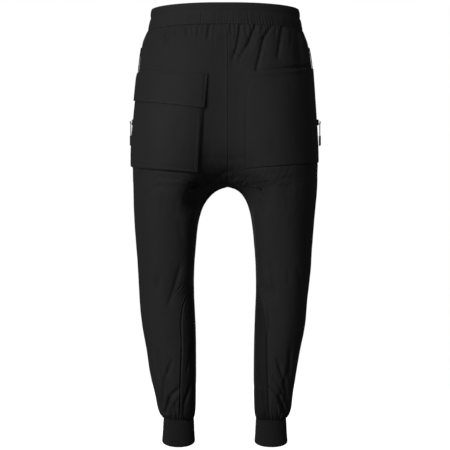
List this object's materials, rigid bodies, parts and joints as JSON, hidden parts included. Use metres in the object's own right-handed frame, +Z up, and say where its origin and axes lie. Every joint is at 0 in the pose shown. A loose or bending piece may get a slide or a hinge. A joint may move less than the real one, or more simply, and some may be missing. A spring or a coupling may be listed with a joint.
{
  "type": "joggers",
  "caption": "Drop-crotch joggers in worn shape, open inside, with elasticated waist, rib cuffs, flapped cargo pocket, patch pocket and side-seam zips.",
  "frame": {"origin": "centre of the elasticated waistband, at half its height, where the wearer's waist holds the garment", "axes": "+Z up the body, -Y towards the wearer's front, +X towards the wearer's left"},
  "size_m": [0.4286, 0.2873, 0.9739],
  "materials": {
    "cloth": "matt black fine woven cloth",
    "rib_knit": "matt black rib knit",
    "moulded": "black moulded plastic"
  },
  "bodies": {
    "garment": {"back_left": "cloth", "back_right": "cloth", "front_left": "cloth", "front_right": "cloth", "calf_inset_left": "cloth", "calf_inset_right": "cloth", "waistband": "cloth", "cuff_left": "rib_knit", "cuff_right": "rib_knit", "cargo_pocket": "cloth", "cargo_flap": "cloth", "patch_pocket": "cloth", "zip_left": "moulded", "zip_right": "moulded", "slider_left": "moulded", "slider_right": "moulded"},
    "tab_left": {"pull_left": "moulded"},
    "tab_right": {"pull_right": "moulded"}
  },
  "joints": [
    {"name": "pull_left_turn", "type": "hinge", "parent": "garment", "child": "tab_left", "pos_m": [0.21102, 0.00805, -0.22779], "axis": [0, -1, 0], "range_deg": [0, 150]},
    {"name": "pull_right_turn", "type": "hinge", "parent": "garment", "child": "tab_right", "pos_m": [-0.21245, 0.00805, -0.22795], "axis": [0, 1, 0], "range_deg": [0, 150]}
  ]
}
